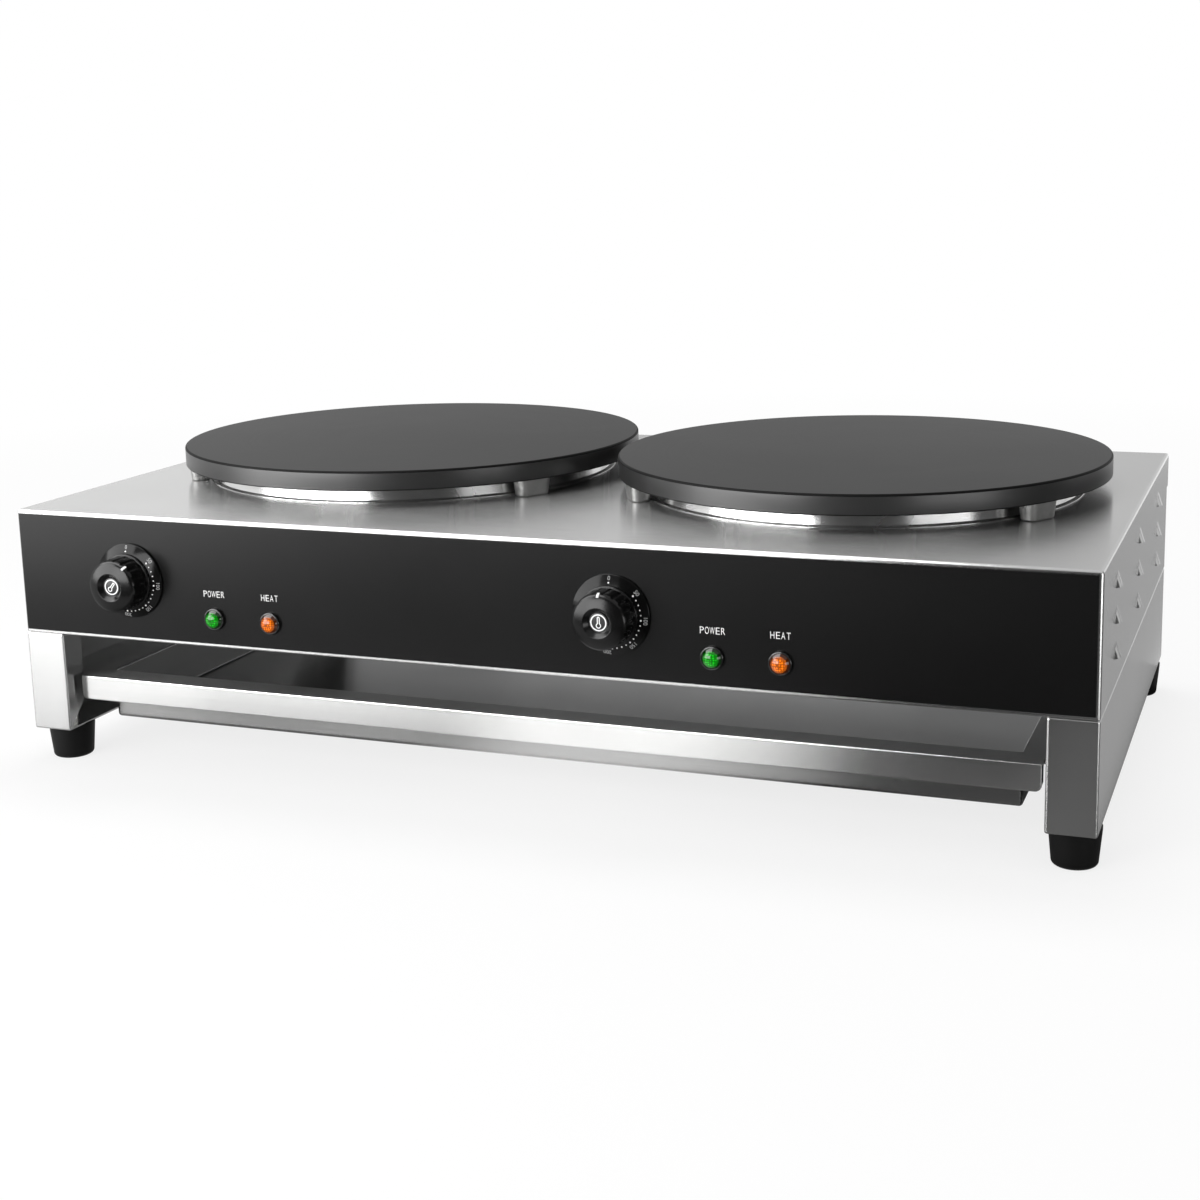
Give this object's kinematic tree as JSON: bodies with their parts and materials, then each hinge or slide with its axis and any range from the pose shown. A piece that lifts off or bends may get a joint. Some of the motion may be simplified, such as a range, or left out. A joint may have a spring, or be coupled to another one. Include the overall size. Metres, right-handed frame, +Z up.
{
  "type": "electric griddle",
  "caption": "Electric crepe griddle: round cast plates on a stainless housing, dial thermostats and pilot lamps on a black front panel, slide-out tray in an open stand.",
  "frame": {"origin": "on the ground under the middle of the overall box", "axes": "+X to the user's right, +Y to the back, +Z up"},
  "size_m": [0.8672, 0.53, 0.242],
  "materials": {
    "stainless_sheet": "brushed, satin",
    "tray_steel": "brushed, satin",
    "galvanised_sheet": "matte zinc",
    "polished_steel": "polished",
    "black_panel": "satin black",
    "seasoned_cast_iron": "ground and seasoned, matte",
    "raw_casting": "rough as cast",
    "foot_rubber": "matte black",
    "dial_black": "glossy black",
    "knob_black": "glossy black",
    "badge_black": "black with a white sign",
    "lamp_black": "black",
    "green_lens": "clear green, faceted",
    "orange_lens": "clear orange, faceted",
    "element_sheath": "heat-tinted",
    "mineral_fibre": "felted",
    "thermostat_case": "zinc-plated case",
    "copper_capillary": "bare copper",
    "gland_plastic": "black nylon",
    "terminal_ceramic": "white ceramic",
    "wire_sleeve": "glass-fibre sleeve",
    "zinc_fasteners": "zinc-plated"
  },
  "bodies": {
    "griddle_body": {"base_plate": "galvanised_sheet", "fascia_panel": "black_panel", "foot_nuts": "zinc_fasteners", "foot_screws": "zinc_fasteners", "front_left_foot": "foot_rubber", "front_right_foot": "foot_rubber", "gland_nuts": "gland_plastic", "housing_cover": "stainless_sheet", "lamp_housings": "lamp_black", "lamp_nuts": "lamp_black", "left_cable_gland": "gland_plastic", "left_collar": "polished_steel", "left_dial_ring": "dial_black", "left_element_clamp": "galvanised_sheet", "left_heat_lamp_lens": "orange_lens", "left_heat_shield": "galvanised_sheet", "left_heating_element": "element_sheath", "left_insulation_pad": "mineral_fibre", "left_plate": "seasoned_cast_iron", "left_plate_lugs": "raw_casting", "left_power_lamp_lens": "green_lens", "left_sensor": "copper_capillary", "left_stand": "stainless_sheet", "left_terminal_block": "terminal_ceramic", "left_thermostat": "thermostat_case", "left_tray_rail": "stainless_sheet", "left_wiring": "wire_sleeve", "plate_nuts": "zinc_fasteners", "plate_studs": "zinc_fasteners", "rear_left_foot": "foot_rubber", "rear_panel": "stainless_sheet", "rear_panel_screws": "zinc_fasteners", "rear_right_foot": "foot_rubber", "right_cable_gland": "gland_plastic", "right_collar": "polished_steel", "right_dial_ring": "dial_black", "right_element_clamp": "galvanised_sheet", "right_heat_lamp_lens": "orange_lens", "right_heat_shield": "galvanised_sheet", "right_heating_element": "element_sheath", "right_insulation_pad": "mineral_fibre", "right_plate": "seasoned_cast_iron", "right_plate_lugs": "raw_casting", "right_power_lamp_lens": "green_lens", "right_sensor": "copper_capillary", "right_stand": "stainless_sheet", "right_terminal_block": "terminal_ceramic", "right_thermostat": "thermostat_case", "right_tray_rail": "stainless_sheet", "right_wiring": "wire_sleeve", "stand_nuts": "zinc_fasteners", "stand_screws": "zinc_fasteners", "thermostat_screws": "zinc_fasteners"},
    "tray": {"drip_tray": "tray_steel"},
    "left_knob_set": {"left_knob": "knob_black", "left_knob_badge": "badge_black", "left_thermostat_shaft": "zinc_fasteners"},
    "right_knob_set": {"right_knob": "knob_black", "right_knob_badge": "badge_black", "right_thermostat_shaft": "zinc_fasteners"}
  },
  "joints": [
    {"name": "tray_slide", "type": "slide", "parent": "griddle_body", "child": "tray", "axis": [0, -1, 0], "range_m": [0, 0.36]},
    {"name": "left_knob_turn", "type": "hinge", "parent": "griddle_body", "child": "left_knob_set", "pos_m": [-0.3235, -0.25, 0.16], "axis": [0, 1, 0], "range_deg": [-38, 237]},
    {"name": "right_knob_turn", "type": "hinge", "parent": "griddle_body", "child": "right_knob_set", "pos_m": [0.0855, -0.25, 0.16], "axis": [0, 1, 0], "range_deg": [0, 275]}
  ]
}
